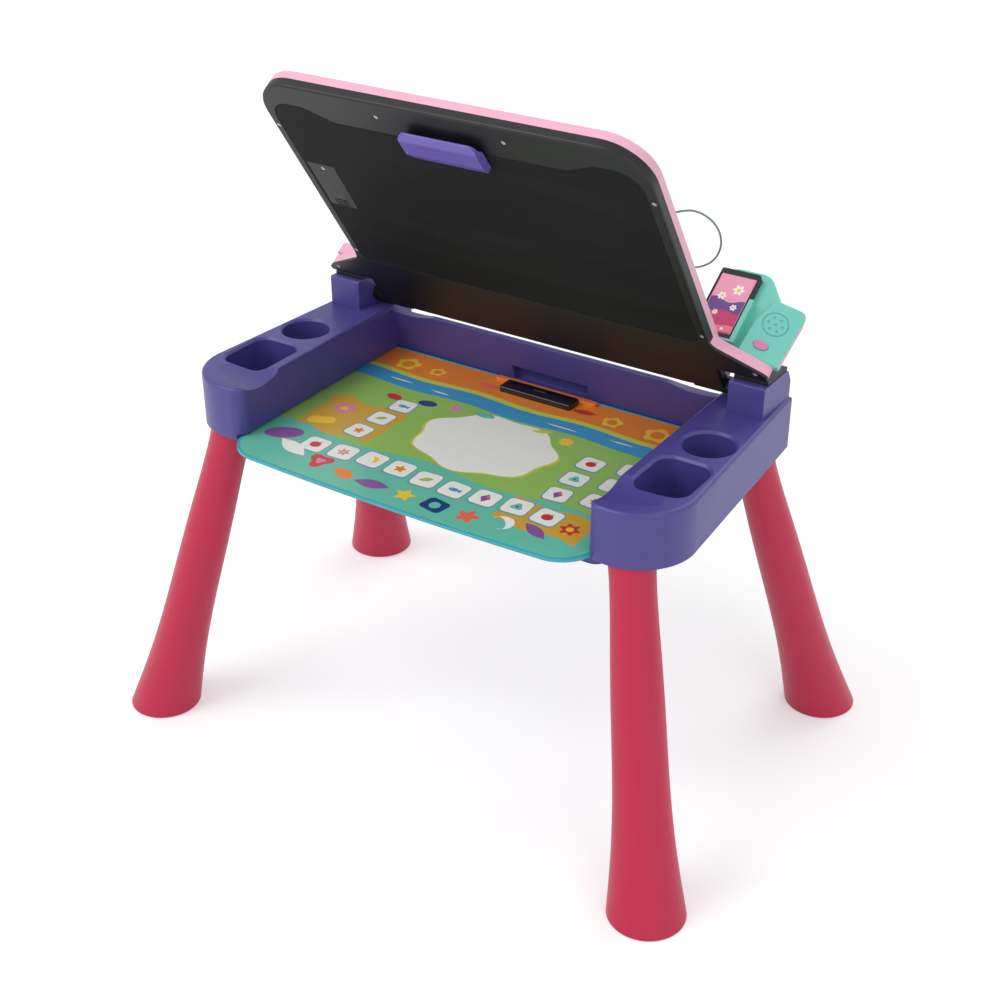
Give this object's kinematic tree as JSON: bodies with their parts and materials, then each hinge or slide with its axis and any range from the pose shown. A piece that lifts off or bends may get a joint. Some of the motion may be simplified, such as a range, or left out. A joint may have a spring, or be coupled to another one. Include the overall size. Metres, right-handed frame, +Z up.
{
  "type": "activity desk",
  "caption": "Children's activity desk on four flared legs, with a hinged chalkboard lid, a sliding picture board and storage wells.",
  "frame": {"origin": "on the floor, midway between the four feet", "axes": "+Z up, -Y towards the child who sits at the desk, +X to that child's right"},
  "size_m": [0.704, 0.488, 0.7136],
  "materials": {
    "base_shell": "satin violet moulding",
    "under_cover": "satin violet moulding",
    "floor_pan": "satin violet moulding",
    "leg": "satin crimson moulding",
    "foot_rubber": "matt",
    "screw": "bright",
    "pin_steel": "bright",
    "black_trim": "glossy",
    "board": "satin teal sheet",
    "page_print": "printed sheet",
    "clip_bar": "satin orange",
    "lid_dark": "glossy black",
    "chalkboard": "matt slate",
    "cell": "wrapped cell",
    "circuit": "lacquered board",
    "paper_clip": "satin violet",
    "lid_light": "satin pink moulding",
    "slider": "satin mint",
    "cord_rubber": "soft grey-green cord",
    "phone_case": "glossy black",
    "phone_screen": "printed label",
    "cradle": "satin mint",
    "pod_face": "satin mint",
    "button": "glossy orchid",
    "stylus": "satin mint"
  },
  "bodies": {
    "frame": {"right_arm": "base_shell", "left_arm": "base_shell", "right_arm_base": "under_cover", "left_arm_base": "under_cover", "base_screws": "screw", "tray_floor": "floor_pan", "rear_rail": "base_shell", "right_hinge_post": "base_shell", "left_hinge_post": "base_shell", "right_hinge_cap": "black_trim", "left_hinge_cap": "black_trim", "right_hinge_pin": "pin_steel", "left_hinge_pin": "pin_steel", "hinge_washers": "black_trim", "front_right_leg": "leg", "front_left_leg": "leg", "rear_right_leg": "leg", "rear_left_leg": "leg", "front_right_foot_pad": "foot_rubber", "front_left_foot_pad": "foot_rubber", "rear_right_foot_pad": "foot_rubber", "rear_left_foot_pad": "foot_rubber"},
    "board": {"board_tray": "board", "activity_page": "page_print", "page_clip": "black_trim", "clip_bar": "clip_bar"},
    "lid": {"lid_back_panel": "lid_dark", "lid_screws": "screw", "chalkboard": "chalkboard", "battery_door": "lid_dark", "battery_screw": "screw", "batteries": "cell", "circuit_board": "circuit", "clip_pin": "pin_steel", "clip_spring": "pin_steel", "lid_shell": "lid_light", "desk_page": "page_print", "console_housing": "lid_light", "tether_grommet": "cord_rubber", "phone_cradle": "cradle", "control_pod": "pod_face", "pod_housing": "lid_light", "speaker": "black_trim", "left_wing_rest": "lid_light", "stylus": "stylus", "stylus_holder": "cradle", "stylus_tether": "cord_rubber"},
    "clip": {"paper_clip": "paper_clip"},
    "button": {"pod_button": "button"},
    "phone": {"phone_case": "phone_case", "phone_screen": "phone_screen"},
    "slider": {"volume_slider": "slider"}
  },
  "joints": [
    {"name": "lid_hinge", "type": "hinge", "parent": "frame", "child": "lid", "pos_m": [0, 0.111, 0.41], "axis": [-1, 0, 0], "range_deg": [-56, 49]},
    {"name": "board_slide", "type": "slide", "parent": "frame", "child": "board", "axis": [0, -1, 0], "range_m": [0, 0.2]},
    {"name": "clip_pivot", "type": "hinge", "parent": "lid", "child": "clip", "pos_m": [0, -0.07955, 0.66746], "axis": [-1, 0, 0], "range_deg": [0, 18], "stiffness_Nm_per_rad": 0.08, "springref_deg": -8.59},
    {"name": "button_press", "type": "slide", "parent": "lid", "child": "button", "axis": [-0.342, 0.5255, -0.779], "range_m": [0, 0.002], "stiffness_N_per_m": 150, "springref_m": -0.0005},
    {"name": "phone_lift", "type": "slide", "parent": "lid", "child": "phone", "axis": [0, 0.829, 0.5592], "range_m": [0, 0.06]},
    {"name": "volume_slide", "type": "slide", "parent": "lid", "child": "slider", "axis": [1, 0, 0], "range_m": [-0.006, 0.006]}
  ]
}
